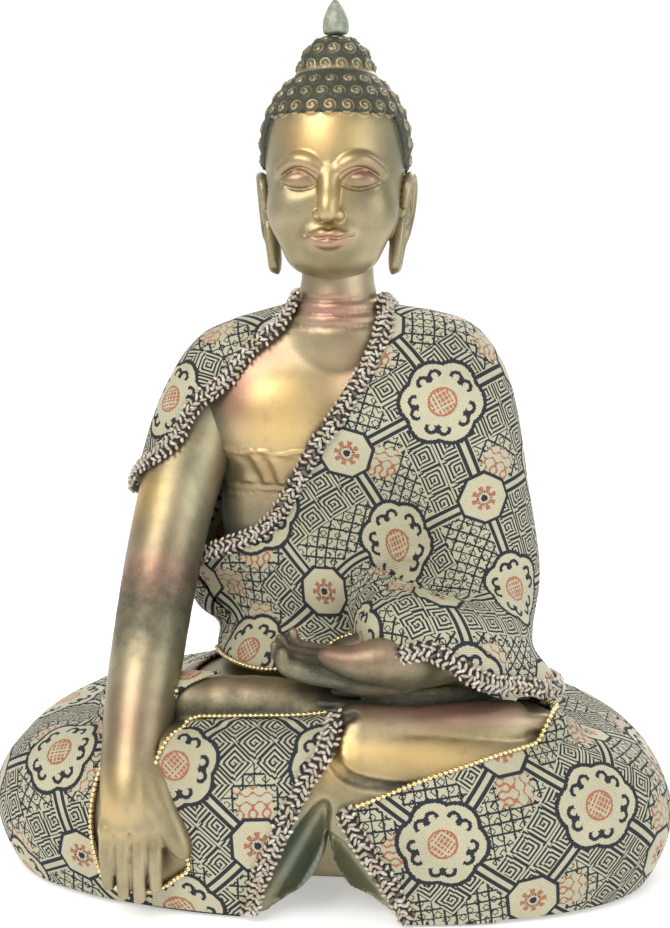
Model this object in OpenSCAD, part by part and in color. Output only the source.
// Seated figure in an earth-touching pose: bonded resin castings dressed in glued brocade
// panels, which are edged with plaited braid and chains of beads.
// Frame: +Z up, the figure faces -Y, origin at the middle of the felt's underside.

/* [Overall] */
// Width across the knees, cloth included
base_w = 240; // [200:1:284]
// Depth from the shins to the back of the seat, cloth included
base_d = 140; // [118:1:166]
// Height of the crossed legs at the knees
knee_h = 51; // [44:1:60]
// Extra height of the shins where they cross in the middle
shin_rise = 11; // [8:1:14]
// Height of the torso from its seat in the lap to the base of the neck
torso_h = 134; // [112:1:160]
// Height of the bare neck
neck_h = 14; // [11:1:17]
// Height of the head from chin to hair, without the crown bump
head_h = 72; // [60:1:86]
// Height of the crown bump above the hair
crown_h = 11; // [8:1:14]
// Height of the finial that shows
finial_h = 10; // [7:1:12]

/* [Torso and head] */
// Width of the bare torso at the chest
chest_w = 88; // [78:1:100]
// Depth of the chest from front to back
chest_d = 68; // [58:1:80]
// Width over both robed upper arms
shoulder_w = 124; // [112:1:136]
// Distance from the middle to the outside of the robed left elbow
elbow_reach = 73; // [66:1:80]
// Width of the neck
neck_w = 27; // [23:1:31]
// Width of the face
head_w = 50; // [44:1:58]
// Depth of the head
head_d = 56; // [48:1:64]
// Height that each curl stands out of the hair
curl_h = 2; // [1.4:0.1:2.8]
// Number of curls round the hairline
curls_round = 18; // [14:1:22]

/* [Arms and feet] */
// Thickness of the upper arm
upper_arm_d = 25; // [21:0.5:28]
// Thickness of the wrist
wrist_d = 19; // [16:0.5:21]
// Thickness of a finger
finger_d = 5.2; // [4.4:0.1:6]
// Length of a finger
finger_l = 25; // [20:1:30]
// Length of a foot
foot_l = 70; // [58:1:82]
// Thickness of a foot
foot_t = 18; // [15:0.5:21]

/* [Castings] */
// Wall of the hollow castings
wall = 6; // [4:0.5:8]
// Diameter of the neck peg
neck_peg_d = 14; // [11:0.5:17]
// Diameter of the two pegs under the torso
seat_peg_d = 12; // [9:0.5:15]
// Diameter of the arm and hand pegs
arm_peg_d = 9; // [7:0.5:11]
// Diameter of the finial's peg
finial_peg_d = 4; // [3:0.5:5]
// Length of a peg
peg_l = 8; // [6:0.5:10]
// Gap round a peg and behind its end
peg_gap = 0.2; // [0.1:0.05:0.3]
// Diameter of the pour hole in the torso's seat
pour_d = 16; // [10:1:20]

/* [Cloth and trims] */
// Thickness of the brocade
cloth_t = 1.2; // [0.8:0.1:1.6]
// Glue gap between a casting and what is stuck to it
glue_gap = 0.3; // [0.2:0.1:0.5]
// Width of the plaited braid
braid_w = 7; // [5.5:0.25:8.5]
// Thickness of the plaited braid
braid_t = 3; // [2.4:0.1:3.6]
// Diameter of a bead in a bead chain
bead_d = 1.8; // [1.4:0.1:2.4]

/* [Base] */
// Thickness of the felt on the underside
felt_t = 1.5; // [1:0.25:3]
// Thickness of the plate that closes the casting
plate_t = 4; // [3:0.5:6]
// Gap round the plate
plate_gap = 0.4; // [0.2:0.1:0.8]

/* [Hidden] */

resin = [0.62, 0.48, 0.26];
brocade = [0.66, 0.62, 0.46];
plait = [0.72, 0.66, 0.52];
gold = [0.85, 0.66, 0.28];

facet_slack = 0.3;                // keeps the flat facets of cloth and resin apart
cloth_in = glue_gap + facet_slack;
cover = cloth_in + cloth_t;       // resin to the outside of the cloth
trim_gap = 0.1;                   // cloth to the trim stuck on it
foot_z = felt_t;                  // the casting stands on the felt
lap_w = base_w / 2 - cover;       // half width of the bare lap
lap_y = -base_d * 0.085;          // where the lap is widest
lap_deep = base_d / 2 - cover;    // bare lap, from the origin to the front or back
lap_round = 2.5;                  // 2 is an ellipse, more is squarer
rim = 0.72;                       // share of the lap's outline where the top goes flat
low_part = 0.35;                  // share of the lap's surface below its widest line
belly = 0.42;                     // share of the height where the lap is widest
figure_y = base_d * 0.06;         // middle of torso and head
seat_z = foot_z + knee_h + 6;     // the torso's seat
neck_z = seat_z + torso_h;
chin_z = neck_z + neck_h;
hair_z = chin_z + head_h;
crown_z = hair_z + crown_h;
crown_r = head_w * 0.3;
arm_x = shoulder_w / 2 - upper_arm_d / 4;
arm_a = 244;                      // where the right hand lies on the lap
feet_z = foot_z + knee_h + shin_rise - foot_t * 0.3;
palm_t = finger_d * 2;
hand_z = feet_z + foot_t / 2 + palm_t / 2 + 4;
hand_y = figure_y - chest_d * 0.74;
lap_ring_n = 48;
ball = 10;                        // sides of the balls that fingers and toes are hulled from

// ---------------------------------------------------------------- helpers
function mix(a, b, t) = a + (b - a) * t;
function xyz(v) = [v[0], v[1], v[2]];
function unit(v) = v / norm(v);
function root(x, power) = sign(x) * pow(abs(x), power);
function total(list, i = 0) = i == len(list) - 1 ? list[i] : list[i] + total(list, i + 1);
function mean(list) = total(list) / len(list);
function bell(x, middle, reach) = exp(-pow((x - middle) / reach, 2));

function row_at(table, f, i = 0) =
    i >= len(table) - 2 || f <= table[i + 1][0] ? i : row_at(table, f, i + 1);

function smooth(a, b, c, d, t) =
    0.5 * (2 * b + (c - a) * t + (2 * a - 5 * b + 4 * c - d) * t * t
           + (3 * b - a - 3 * c + d) * t * t * t);

// A row of a table at f, straight between the rows; column 0 holds f
function line_row(table, f) =
    let(i = row_at(table, f), t = (f - table[i][0]) / (table[i + 1][0] - table[i][0]))
    mix(table[i], table[i + 1], min(1, max(0, t)));

// The same on a smooth curve through the rows
function curve_row(table, f) =
    let(i = row_at(table, f), b = table[i], c = table[i + 1])
    smooth(table[max(0, i - 1)], b, c, table[min(len(table) - 1, i + 2)],
           (f - b[0]) / (c[0] - b[0]));

// A smooth curve through points, n steps to each stretch
function curve(points, n) =
    let(last = len(points) - 1)
    [for (k = [0 : last * n])
        let(i = min(last - 1, floor(k / n)))
        smooth(points[max(0, i - 1)], points[i], points[i + 1], points[min(last, i + 2)],
               k / n - i)];

// Direction of a path at point i, and the two directions square to it
function along(path, i) = unit(path[min(len(path) - 1, i + 1)] - path[max(0, i - 1)]);
function across(dir) = unit(cross(dir, [0, 1, 0.3]));

// Solid through closed rings of points
module loft(rings) {
    n = len(rings[0]);
    m = len(rings);
    points = [for (ring = rings) each ring, mean(rings[0]), mean(rings[m - 1])];
    walls = [for (i = [0 : m - 2], j = [0 : n - 1])
        let(k = (j + 1) % n, a = i * n + j, b = i * n + k, c = a + n, d = b + n)
        each [[a, c, d], [a, d, b]]];
    ends = [for (j = [0 : n - 1])
        let(k = (j + 1) % n, top = (m - 1) * n)
        each [[m * n, j, k], [m * n + 1, top + k, top + j]]];
    polyhedron(points = points, faces = concat(walls, ends), convexity = 6);
}

// Closed sheet between an inner and an outer grid of points. gap lists the columns that are
// left out above the first band, and every free edge gets a wall.
module sheet(inner, outer, gap = []) {
    rows = len(inner);
    cols = len(inner[0]);
    half = rows * cols;
    points = [for (row = inner) each row, for (row = outer) each row];
    function kept(i, j) =
        i >= 0 && i < rows - 1 && j >= 0 && j < cols - 1 && (i == 0 || len(search(j, gap)) == 0);
    function wall(p, q) = [[q, p, p + half], [q, p + half, q + half]];
    faces = [for (i = [0 : rows - 2], j = [0 : cols - 2])
        if (kept(i, j))
            let(a = i * cols + j, b = a + 1, c = a + cols, d = c + 1)
            each concat([[a, b, d], [a, d, c]],
                        [[a + half, d + half, b + half], [a + half, c + half, d + half]],
                        kept(i - 1, j) ? [] : wall(a, b), kept(i, j + 1) ? [] : wall(b, d),
                        kept(i + 1, j) ? [] : wall(d, c), kept(i, j - 1) ? [] : wall(c, a))];
    polyhedron(points = points, faces = faces, convexity = 6);
}

// Strip of oval section along a path whose outward directions are known
module strip(path, outward, width, thick, sides = 8) {
    rings = [for (i = [0 : len(path) - 1])
        let(dir = along(path, i), flat = unit(cross(dir, outward[i])), up = cross(flat, dir))
        [for (k = [0 : sides - 1])
            let(a = -360 * k / sides)
            path[i] + flat * cos(a) * width / 2 + up * sin(a) * thick / 2]];
    loft(rings);
}

// Round tube along points whose fourth value is the radius, from the first to the last of them
module limb(points, grow = 0, sides = 20, first = 0, last = -1) {
    path = [for (p = points) xyz(p)];
    end = last < 0 ? len(path) - 1 : last;
    rings = [for (i = [first : end])
        let(dir = along(path, i), side = across(dir), up = cross(side, dir))
        [for (k = [0 : sides - 1])
            let(a = -360 * k / sides)
            path[i] + (side * cos(a) + up * sin(a)) * (points[i][3] + grow)]];
    loft(rings);
}

// Two balls and the stretch between them
module bone(a, b, ra, rb) {
    hull() {
        translate(a)
            sphere(r = ra, $fn = ball);
        translate(b)
            sphere(r = rb, $fn = ball);
    }
}

// Cylinder from a point in a direction
module rod(start, dir, d, h) {
    translate(start)
        rotate([0, acos(dir[2]), atan2(dir[1], dir[0])])
            cylinder(d = d, h = h, $fn = 40);
}

// ---------------------------------------------------------------- lap surface
function lap_height(a) = knee_h + (sin(a) < 0 ? shin_rise : shin_rise / 2) * pow(sin(a), 2);

// Point of the lap at angle a; t runs from the floor edge (0) to the rim of the top (1)
function lap_at(a, t) =
    let(phi = 90 * (t - low_part) / (1 - low_part),
        under = 1 - 0.06 * pow(1 - t / low_part, 2),
        reach = t < low_part ? under : rim + (1 - rim) * cos(phi),
        rise = t < low_part ? belly * t / low_part : belly + (1 - belly) * sin(phi))
    [lap_w * reach * root(cos(a), 2 / lap_round),
     lap_y + (lap_deep + (sin(a) > 0 ? -lap_y : lap_y)) * reach * root(sin(a), 2 / lap_round),
     foot_z + lap_height(a) * rise];

function lap_out(a, t) =
    unit(cross(lap_at(a + 1.5, t) - lap_at(a - 1.5, t),
               lap_at(a, min(1, t + 0.02)) - lap_at(a, max(0, t - 0.02))));

function lap_skin(a, t, d) =
    let(p = lap_at(a, t) + lap_out(a, t) * d)
    [p[0], p[1], max(foot_z, p[2])];

function lap_ring(t, d) =
    [for (k = [0 : lap_ring_n - 1]) lap_skin(360 * k / lap_ring_n, t, d)];

// Panel of cloth on the lap: angles gives a row's points, high is the top edge
lap_hem = [0.02, 0.05];           // the lowest band of the cloth
module lap_panel(angles, high, rows, gap = []) {
    grid = [for (side = [cloth_in, cover])
        [for (i = [0 : rows])
            [for (a = angles(i / rows))
                lap_skin(a, i == 0 ? lap_hem[0] : mix(lap_hem[1], high(a), (i - 1) / (rows - 1)), side)]]];
    sheet(grid[0], grid[1], gap);
}

function spread(from, to, columns) = [for (j = [0 : columns]) mix(from, to, j / columns)];

// Trim along the lap; each row of spots is [angle, t]
module lap_trim(spots, width, thick, steps = 4, sides = 8) {
    line = curve(spots, steps);
    path = [for (s = line) lap_skin(s[0], s[1], cover + trim_gap + thick / 2)];
    strip(path, [for (s = line) lap_out(s[0], s[1])], width, thick, sides);
}

// ---------------------------------------------------------------- torso surface
// share of the height, half widths to the figure's right and left, depths to front and back
torso_rows = [
    [0.00, chest_w * 0.47, elbow_reach * 0.86, chest_d * 0.46, chest_d * 0.48],
    [0.14, chest_w * 0.45, elbow_reach * 0.94, chest_d * 0.52, chest_d * 0.53],
    [0.30, chest_w * 0.42, elbow_reach - cover, chest_d * 0.51, chest_d * 0.54],
    [0.50, chest_w * 0.46, (elbow_reach + shoulder_w / 2) / 2 - cover, chest_d * 0.47, chest_d * 0.54],
    [0.70, chest_w * 0.47, shoulder_w / 2 - cover, chest_d * 0.45, chest_d * 0.52],
    [0.85, chest_w * 0.32, shoulder_w / 2 - 5, chest_d * 0.38, chest_d * 0.46],
    [0.94, chest_w * 0.22, shoulder_w / 2 - 20, chest_d * 0.29, chest_d * 0.34],
    [1.00, neck_w * 0.56, neck_w * 0.60, neck_w * 0.50, neck_w * 0.60]];
sleeve_a = 310;                   // where the left forearm fills the sleeve
sleeve_f = 0.12;

function torso_at(a, f) =
    let(row = curve_row(torso_rows, f), side = cos(a) > 0 ? row[2] : row[1],
        deep = sin(a) > 0 ? row[4] : row[3], power = 2 / 2.3,
        swell = 1 + 0.22 * bell((a + 360) % 360, sleeve_a, 26) * bell(f, sleeve_f, 0.15))
    [side * swell * root(cos(a), power), figure_y + deep * swell * root(sin(a), power),
     seat_z + torso_h * f];

function torso_out(a, f) =
    unit(cross(torso_at(a + 2, f) - torso_at(a - 2, f),
               torso_at(a, min(1, f + 0.02)) - torso_at(a, max(0, f - 0.02))));

function torso_skin(a, f, d) = torso_at(a, f) + torso_out(a, f) * d;

// Angle of the robe's free edge and height of its hem
robe_edge = [[0, 190], [0.34, 190], [0.41, 198], [0.5, 212], [0.68, 249], [0.85, 270], [0.93, 280],
             [1, 322]];
robe_hem = [[180, 0.08], [235, 0.09], [265, 0.13], [285, 0.24], [292, 0.28], [304, 0.20],
            [320, 0.13], [340, 0.10], [370, 0.07]];
back_edge = [[0, 549], [0.34, 549], [0.4, 532], [0.7, 520], [0.9, 480], [1, 470]];
robe_top = 0.985;
side_seam = 370;
function edge_at(f) = line_row(robe_edge, f)[1];
function hem_at(a) = line_row(robe_hem, a)[1];

// Panel of cloth on the torso: from and to are angles at each height, low is its bottom edge
module torso_panel(from, to, low, columns, rows) {
    grid = [for (side = [cloth_in, cover])
        [for (i = [0 : rows])
            [for (j = [0 : columns])
                let(guess = mix(from(0), to(0), j / columns), rise = 1 - pow(1 - i / rows, 1.5),
                    f = mix(low(guess), robe_top, rise),
                    a = mix(from(f), to(f), j / columns))
                torso_skin(a, f, side)]]];
    sheet(grid[0], grid[1]);
}

// Trim along the torso; each row of spots is [angle, share of the height]
module torso_trim(spots, width, thick, steps = 4, sides = 8) {
    line = curve(spots, steps);
    path = [for (s = line) torso_skin(s[0], s[1], cover + trim_gap + thick / 2)];
    strip(path, [for (s = line) torso_out(s[0], s[1])], width, thick, sides);
}

// ---------------------------------------------------------------- arm path
// Places along the right arm with its radius, from inside the shoulder to the wrist
wrist_at = lap_skin(arm_a, 0.66, wrist_d * 0.25);
arm_r = upper_arm_d / 2;
arm_points = [
    [-arm_x * 0.30, figure_y, neck_z - 22, arm_r * 1.28],
    [-arm_x * 0.74, figure_y, neck_z - 25, arm_r * 1.22],
    [-arm_x * 0.94, figure_y - 3, neck_z - 36, arm_r * 1.14],
    [-arm_x, figure_y - 8, neck_z - 48, arm_r * 1.04],
    [-arm_x - 1, figure_y - 13, neck_z - 65, arm_r],
    concat(mix([-arm_x - 3, figure_y - 13, neck_z - 65], wrist_at, 0.34), [arm_r * 0.98]),
    concat(mix([-arm_x - 4, figure_y - 13, neck_z - 65], wrist_at, 0.72), [arm_r * 0.95]),
    [wrist_at[0], wrist_at[1], wrist_at[2], wrist_d / 2],
    concat(lap_skin(arm_a, 0.52, wrist_d * 0.24), [wrist_d * 0.46])];
arm_steps = 3;
shoulder_joint = 3 * arm_steps;   // the arm casting starts here
arm_line = curve(arm_points, arm_steps);
arm_path = [for (p = arm_line) xyz(p)];

// Point on the sleeve: u counts points along the arm, a goes round it (0 inside, -180 outside)
function sleeve_out(u, a) =
    let(dir = along(arm_path, round(u)), side = across(dir))
    side * cos(a) + cross(side, dir) * sin(a);

function sleeve_skin(u, a, d) =
    let(i = min(len(arm_line) - 2, floor(u)), p = mix(arm_line[i], arm_line[i + 1], u - i),
        low = sleeve_out(i, a), high = sleeve_out(i + 1, a))
    xyz(p) + unit(mix(low, high, u - i)) * (p[3] + d);

// ---------------------------------------------------------------- castings
// Fingers of the right hand, thumb included; grow widens them for the groove
module right_hand(grow) {
    pitch = finger_d * 1.06 / (lap_w * PI / 180 * 0.87);
    knuckle_t = 0.44;
    palm = lap_skin(arm_a, 0.5, finger_d * 0.9);
    for (i = [0 : 3]) {
        a = arm_a + (i - 1.5) * pitch;
        knuckle = lap_skin(a, knuckle_t, finger_d * 0.55);
        middle = lap_skin(a, knuckle_t - finger_l * 0.6 / knee_h, finger_d * 0.6);
        tip = lap_skin(a, knuckle_t - (finger_l - abs(i - 2) * 2) * 0.66 / knee_h, finger_d * 0.45);
        bone(palm, knuckle, wrist_d * 0.44 + grow, finger_d * 0.8 + grow);
        bone(knuckle, middle, finger_d / 2 + grow, finger_d / 2 + grow);
        bone(middle, tip, finger_d / 2 + grow, finger_d * 0.42 + grow);
    }
    thumb = lap_skin(arm_a + pitch * 2.9, 0.46, finger_d * 0.6);
    thumb_tip = lap_skin(arm_a + pitch * 3.9, 0.36, finger_d * 0.6);
    bone(palm, thumb, wrist_d * 0.34 + grow, finger_d * 0.62 + grow);
    bone(thumb, thumb_tip, finger_d * 0.62 + grow, finger_d * 0.45 + grow);
}

module arm_stretch(first, grow) {
    limb(arm_line, grow, first = first);
}

// A foot lying on its side, sole up
module foot(heel, dir, up, size) {
    r = foot_t / 2;
    ball_of_foot = heel + dir * size * 0.7;
    bone(heel, heel + dir * size * 0.35 - up, r, r * 0.84);
    bone(heel + dir * size * 0.35 - up, ball_of_foot, r * 0.84, r * 0.9);
    side = cross(dir, up);
    for (i = [0 : 4]) {
        toe = ball_of_foot + side * (i - 2) * finger_d * 0.75 + up * 1.5;
        bone(toe, toe + dir * (size * 0.25 - i * 1.4), finger_d * 0.62, finger_d * 0.48);
    }
}

module feet() {
    heel_x = foot_l * 0.2;
    front = -lap_deep * 0.64;
    foot([heel_x, front, feet_z], unit([1, 0.16, 0.03]), [0, 0, 1], foot_l);
    limb([[-foot_l * 0.95, front + 22, feet_z - 6, foot_t * 0.5],
          [-foot_l * 0.5, front + 12, feet_z - 1, foot_t * 0.5],
          [heel_x * 0.4, front + 9, feet_z - 1, foot_t * 0.44]], 0, 14);
}

// The two bell-shaped ends of the robe between the shins
module hem_folds() {
    for (side = [-1, 1]) {
        middle = side < 0 ? 269.4 : 275;
        top = lap_skin(middle, 0.5, -3);
        for (k = [0, 1]) {
            low_end = lap_skin(middle + side * k * 2, 0.06, -1.5);
            bone(top, low_end, 3.5, 3);
        }
    }
}

// The gap between the two hem folds
module hem_gap() {
    depth = wall * 1.6;
    blade = 2;
    hull() {
        for (x = [-braid_w * 1.3, braid_w * 2.1])
            translate([x, -lap_deep - blade, foot_z - 1])
                cube([blade, depth + blade, blade]);
        translate([braid_w * 0.3, -lap_deep - blade, foot_z + knee_h * 0.75])
            cube([blade, depth / 2, blade]);
    }
}

module lap_shell() {
    upper = [for (t = [0, 0.12, 0.24, 0.35, 0.48, 0.61, 0.74, 0.87, 1]) lap_ring(t, 0)];
    seat = [for (k = [0 : lap_ring_n - 1]) torso_skin(360 * k / lap_ring_n, 0, 1.2)];
    flat_seat = [for (p = seat) [p[0], p[1], seat_z]];
    loft(concat(upper, [flat_seat]));
}

module lap_casting() {
    thick = wall + wrist_d / 2;
    roof_z = seat_z - peg_l - wall;
    inside = [for (t = [0.12, 0.24, 0.35, 0.6])
        [for (p = lap_ring(t, -thick)) [p[0], p[1], min(p[2], roof_z)]]];
    floor_ring = [for (p = lap_ring(0, -thick)) [p[0], p[1], foot_z - 1]];
    roof_ring = [for (p = lap_ring(0.9, -thick)) [p[0], p[1], roof_z + 0.5]];
    color(resin)
        difference() {
            union() {
                lap_shell();
                feet();
                hem_folds();
            }
            loft(concat([floor_ring], inside, [roof_ring]));
            plate_space(plate_gap, 1);
            hem_gap();
            arm_stretch(shoulder_joint + 6, peg_gap);
            right_hand(peg_gap);
            for (x = [-1, 1])
                rod([x * chest_w * 0.25, figure_y, seat_z + 1], [0, 0, -1], seat_peg_d + 2 * peg_gap,
                    peg_l + peg_gap + 1);
        }
}

// Under-vest: vertical pleats across the chest, over a belt line
module vest() {
    pleats = 8;
    pleat_r = 1;
    from = 203;
    to = 224;
    belt_f = 0.56;
    for (a = spread(from, to, pleats - 1))
        bone(torso_skin(a, belt_f + 0.02, pleat_r * 0.3), torso_skin(a, belt_f + 0.085, pleat_r * 0.3),
             pleat_r, pleat_r * 0.9);
    line = spread(from - 2, to - 8, 6);
    strip([for (a = line) torso_skin(a, belt_f - 0.02, 0.4)], [for (a = line) torso_out(a, belt_f)],
          3.2, 2.4);
}

module torso_casting() {
    shares = [0, 0.07, 0.14, 0.22, 0.3, 0.4, 0.5, 0.6, 0.7, 0.78, 0.85, 0.9, 0.94, 0.97, 1];
    ring_n = 40;
    body = [for (f = shares) [for (k = [0 : ring_n - 1]) torso_at(360 * k / ring_n, f)]];
    neck = [for (z = [0.35, 0.7, 1])
        [for (k = [0 : ring_n - 1])
            let(a = 360 * k / ring_n)
            [neck_w / 2 * cos(a), figure_y + neck_w / 2 * sin(a), neck_z + neck_h * z]]];
    core = [for (f = [0, 0.2, 0.4, 0.6, 0.74])
        [for (k = [0 : ring_n - 1])
            let(p = torso_skin(360 * k / ring_n, f, -wall * 1.6))
            [p[0], p[1], seat_z + (f == 0 ? wall : torso_h * f)]]];
    joint = arm_path[shoulder_joint];
    color(resin)
        difference() {
            union() {
                loft(concat(body, neck));
                limb(arm_line, last = shoulder_joint);
                vest();
                for (x = [-1, 1])
                    rod([x * chest_w * 0.25, figure_y, seat_z + 1], [0, 0, -1], seat_peg_d, peg_l + 1);
            }
            loft(core);
            rod([0, figure_y, seat_z - 1], [0, 0, 1], pour_d, wall + 2);
            rod([0, figure_y, chin_z + 1], [0, 0, -1], neck_peg_d + 2 * peg_gap, peg_l + peg_gap + 1);
            rod(joint, -along(arm_path, shoulder_joint), arm_peg_d + 2 * peg_gap, peg_l + peg_gap);
            left_wrist(peg_gap);
        }
}

// Under the cuff: the part of the left wrist that is let into the sleeve
function left_wrist_line() =
    [[elbow_reach * 0.66, figure_y - chest_d * 0.50, hand_z + 1, wrist_d * 0.44],
     [elbow_reach * 0.54, figure_y - chest_d * 0.64, hand_z, wrist_d * 0.42],
     [elbow_reach * 0.38, hand_y, hand_z - 1, wrist_d * 0.34]];
module left_wrist(grow) { limb(left_wrist_line(), grow, 16); }

module left_hand_casting() {
    start = left_wrist_line()[2];
    palm = [start[0] - 9, start[1], hand_z - 2];
    color(resin)
        union() {
            left_wrist(0);
            for (side = [-1, 1])
                bone([start[0] + 1, start[1] + side * 3, hand_z - 1], palm + [-8, side * finger_d * 1.5, 0],
                     palm_t * 0.5, finger_d * 0.62);
            for (i = [0 : 3]) {
                knuckle = palm + [-8, (i - 1.5) * finger_d, 0];
                bend = knuckle + [-finger_l * 0.45, 0.4, 0.4];
                bone(knuckle, bend, finger_d * 0.52, finger_d * 0.5);
                bone(bend, bend + [-finger_l * 0.4 + abs(i - 1.5), 0.4, 2], finger_d * 0.5,
                     finger_d * 0.38);
            }
            thumb = palm + [3, -finger_d * 1.6, 3];
            bone(thumb, thumb + [-14, 0, 2], finger_d * 0.75, finger_d * 0.5);
        }
}

module right_arm_casting() {
    joint = arm_path[shoulder_joint];
    color(resin)
        union() {
            arm_stretch(shoulder_joint, 0);
            right_hand(0);
            rod(joint - along(arm_path, shoulder_joint) * peg_l, along(arm_path, shoulder_joint),
                arm_peg_d, peg_l + 2);
        }
}

// ---------------------------------------------------------------- head
// share of the height, half width, depth to the front, depth to the back
head_rows = [[0, 0.17, 0.26, 0.06], [0.06, 0.31, 0.40, 0.20], [0.17, 0.42, 0.46, 0.30],
             [0.36, 0.49, 0.48, 0.42], [0.56, 0.5, 0.48, 0.49], [0.74, 0.48, 0.44, 0.5],
             [0.88, 0.39, 0.34, 0.42], [0.96, 0.24, 0.21, 0.27], [1, 0.05, 0.05, 0.06]];

function head_at(a, f, grow) =
    let(row = curve_row(head_rows, f))
    [(row[1] * head_w + grow) * cos(a),
     figure_y + ((sin(a) > 0 ? row[3] : row[2]) * head_d + grow) * sin(a),
     chin_z + head_h * f];

module hair() {
    bands = 8;
    per_curl = 3;
    layer = 1.6;
    n = curls_round * per_curl;
    rings = [for (i = [0 : bands * 2])
        [for (k = [0 : n - 1])
            let(a = 360 * k / n, line = 0.5 - 0.24 * sin(a), v = i / (bands * 2),
                curl = curl_h * abs(sin(180 * (k / per_curl + (floor(i / 2) % 2) / 2))),
                f = mix(line, 0.995, v))
            head_at(a, f, layer + (i % 2) * curl)]];
    loft(rings);
}

module face() {
    front = figure_y - head_d * 0.48;
    eye_z = chin_z + head_h * 0.42;
    bone([0, front + 1, eye_z + 3], [0, front - 3, chin_z + head_h * 0.26], 2, 2.8);
    for (side = [-1, 1]) {
        x = side * head_w * 0.21;
        bone([x - 3.4, front + 3.2, eye_z], [x + 3.4, front + 3.2, eye_z], 2.6, 2.6);
        bone([x - 4, front + 3.6, eye_z + 6.4], [x + 4, front + 3.6, eye_z + 6.4], 1.7, 1.7);
    }
    bone([-3.4, front + 1.8, chin_z + head_h * 0.155], [3.4, front + 1.8, chin_z + head_h * 0.155], 1.6, 1.6);
    bone([-2.8, front + 2, chin_z + head_h * 0.12], [2.8, front + 2, chin_z + head_h * 0.12], 1.6, 1.6);
}

module ears() {
    for (side = [-1, 1]) {
        x = side * head_w * 0.52;
        bone([x, figure_y, chin_z + head_h * 0.46], [x, figure_y + 1, chin_z + head_h * 0.26], 3.4, 2.8);
        bone([x, figure_y + 1, chin_z + head_h * 0.26], [side * head_w * 0.46, figure_y - 1, chin_z + 3],
             2.6, 3);
    }
}

module head_casting() {
    shares = [0, 0.03, 0.08, 0.17, 0.27, 0.37, 0.5, 0.62, 0.75, 0.86];
    ring_n = 32;
    skull = [for (f = shares) [for (k = [0 : ring_n - 1]) head_at(360 * k / ring_n, f, 0)]];
    color(resin)
        difference() {
            union() {
                loft(skull);
                hair();
                translate([0, figure_y, crown_z - crown_r])
                    sphere(r = crown_r, $fn = 18);
                face();
                ears();
                rod([0, figure_y, chin_z + 4], [0, 0, -1], neck_peg_d, peg_l + 4);
            }
            rod([0, figure_y, crown_z + 1], [0, 0, -1], finial_peg_d + 2 * peg_gap,
                peg_l * 0.7 + 1 + peg_gap);
        }
}

// Bud-shaped finial on its peg
module finial() {
    r = finial_h * 0.42;
    color([0.36, 0.36, 0.28])
        translate([0, figure_y, crown_z])
            union() {
                rotate_extrude($fn = 48)
                    polygon([[0, 0], for (i = [0 : 10])
                        let(t = i / 10)
                        [r * sin(180 * pow(mix(0.22, 1, t), 0.8)) + 0.4 * (1 - t), finial_h * t],
                        [0, finial_h]]);
                translate([0, 0, -peg_l * 0.7])
                    cylinder(d = finial_peg_d, h = peg_l * 0.7 + 0.5, $fn = 40);
            }
}

// ---------------------------------------------------------------- cloth
module robe_front() {
    color(brocade)
        torso_panel(function(f) edge_at(f), function(f) side_seam, function(a) hem_at(a), 26, 20);
}

module robe_back() {
    color(brocade)
        torso_panel(function(f) side_seam + 0.6,
                    function(f) line_row(back_edge, f)[1],
                    function(a) 0.07, 18, 14);
}

// Shoulder panel: it widens from the neck to the arm, and its end slopes from the armpit
// down to the outside of the arm
sleeve_reach = 108;
sleeve_start = 1;
function sleeve_half(u) = mix(38, sleeve_reach, min(1, (u - sleeve_start) / (arm_steps * 1.2)));
function sleeve_end(a) =
    shoulder_joint + 2.6 * pow(max(0, cos(90 * (a + 180) / sleeve_reach)), 0.7);

module shoulder_panel() {
    columns = 14;
    rows = 7;
    grid = [for (side = [cloth_in, cover])
        [for (i = [0 : rows])
            [for (j = [0 : columns])
                let(v = mix(-1, 1, j / columns), end = sleeve_end(v * sleeve_reach - 180),
                    u = mix(sleeve_start, end, i / rows))
                sleeve_skin(u, v * sleeve_half(u) - 180, side)]]];
    color(brocade)
        sheet(grid[0], grid[1]);
}

// The right leg's cloth is cut away round the hand, all but its lowest band
opening = [arm_a - 17.5, arm_a + 15.5];
outer_columns = 13;
opening_columns = 5;
function right_hem(v) = mix(264, 270, v);
function right_angles(v) =
    concat(spread(152, opening[0], outer_columns),
           [for (j = [1 : opening_columns - 1]) mix(opening[0], opening[1], j / opening_columns)],
           spread(opening[1], right_hem(v), 3));
right_top = [0.97, 0.82];         // top edge outside and inside the arm
function left_hem(v) = mix(283, 274, v);
function left_top(a) =
    line_row([[274, 0.45], [290, 0.66], [312, 0.86], [335, 0.97], [390, 0.97]], a)[1];

module right_leg_cloth() {
    color(brocade)
        lap_panel(function(v) right_angles(v), function(a) a > arm_a ? right_top[1] : right_top[0], 10,
                  [for (j = [0 : opening_columns - 1]) outer_columns + j]);
}

module left_leg_cloth() {
    color(brocade)
        lap_panel(function(v) spread(left_hem(v), 388, 26), function(a) left_top(a), 10);
}

module seat_cloth() {
    color(brocade)
        lap_panel(function(v) spread(28.6, 151.4, 16), function(a) 0.9, 9);
}

// ---------------------------------------------------------------- trims
module robe_edge_braid() {
    rising = [for (f = [0.36, 0.41, 0.5, 0.6, 0.7, 0.8, 0.88, 0.94]) [edge_at(f), f]];
    round_neck = [for (k = [0 : 6]) [mix(310, 560, k / 6), 0.985]];
    color(plait)
        torso_trim(concat(rising, round_neck), braid_w, braid_t, 3);
}

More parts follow.
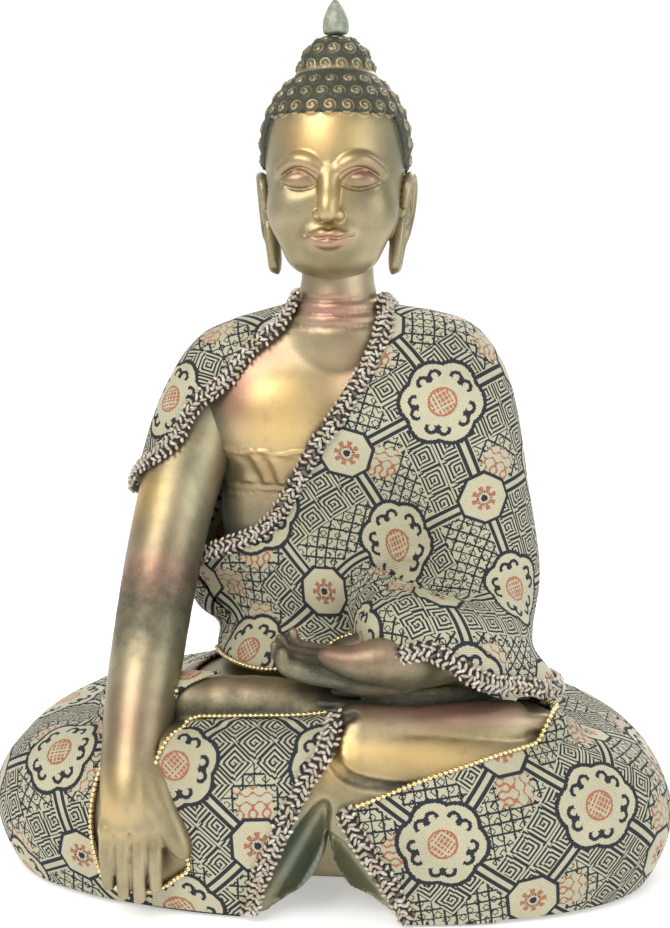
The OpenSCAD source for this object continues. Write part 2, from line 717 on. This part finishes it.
module shoulder_edge_braid() {
    free_edge = [for (u = [1.4, 3, 5, 7]) [u, sleeve_half(u) - 180]];
    end_edge = [for (k = [0 : 8])
        let(a = mix(sleeve_reach - 5, -sleeve_reach + 10, k / 8) - 180)
        [sleeve_end(a) - 0.2, a]];
    line = curve(concat(free_edge, end_edge), 3);
    color(plait)
        strip([for (s = line) sleeve_skin(s[0], s[1], cover + trim_gap + braid_t / 2)],
              [for (s = line) sleeve_out(s[0], s[1])], braid_w * 0.8, braid_t);
}

module cuff_braid() {
    color(plait)
        torso_trim([for (a = [293, 304, 320, 340, 366]) [a, hem_at(a) + 0.035]], braid_w, braid_t);
}

module right_hem_braid() {
    color(plait)
        lap_trim([for (v = [0.05, 0.3, 0.55, 0.8, 0.97]) [right_hem(v) - 1, mix(0.02, 0.82, v)]],
                 braid_w, braid_t);
}

module left_hem_braid() {
    color(plait)
        lap_trim([for (v = [0.08, 0.35, 0.65, 0.95]) [left_hem(v) + 1, mix(0.02, 0.45, v)]],
                 braid_w, braid_t);
}

module robe_hem_bead_chain() {
    color(gold)
        torso_trim([for (a = [192, 215, 235, 255, 270, 281, 288]) [a, hem_at(a) + 0.012]],
                   bead_d, bead_d, 4, 6);
}

module right_leg_bead_chain() {
    color(gold)
        lap_trim([for (a = spread(opening[1] + 0.8, right_hem(1) - 2.5, 3)) [a, right_top[1] - 0.02]],
                 bead_d, bead_d, 3, 6);
}

module arm_opening_bead_chain() {
    slope = [0.75, 0.5, 0.25, 0.05];
    outer = [for (t = slope) [opening[0] - 0.5, mix(lap_hem[1], right_top[0], t)]];
    low = [for (a = [opening[0] + 2, arm_a - 8, arm_a, arm_a + 8, opening[1] - 2]) [a, lap_hem[1]]];
    inner = [for (k = [3 : -1 : 0]) [opening[1] + 0.5, mix(lap_hem[1], right_top[1], slope[k])]];
    color(gold)
        lap_trim(concat(outer, low, inner), bead_d, bead_d, 3, 6);
}

module left_leg_bead_chain() {
    color(gold)
        lap_trim([for (a = [278.5, 290, 302, 314, 326, 336]) [a, left_top(a) - 0.015]], bead_d, bead_d, 4, 6);
}

// ---------------------------------------------------------------- base
module plate_space(grow, below) {
    outline = [for (p = lap_ring(0, -wall - plate_gap + grow)) [p[0], p[1]]];
    translate([0, 0, foot_z - below])
        linear_extrude(height = plate_t + below + grow)
            polygon(outline);
}

module base_plate() {
    color([0.2, 0.19, 0.17])
        plate_space(0, 0);
}

module base_felt() {
    color([0.12, 0.2, 0.14])
        linear_extrude(height = felt_t)
            polygon([for (p = lap_ring(0, -0.4)) [p[0], p[1]]]);
}

lap_casting();
torso_casting();
head_casting();
finial();
right_arm_casting();
left_hand_casting();
robe_front();
robe_back();
shoulder_panel();
right_leg_cloth();
left_leg_cloth();
seat_cloth();
robe_edge_braid();
shoulder_edge_braid();
cuff_braid();
right_hem_braid();
left_hem_braid();
robe_hem_bead_chain();
right_leg_bead_chain();
arm_opening_bead_chain();
left_leg_bead_chain();
base_plate();
base_felt();
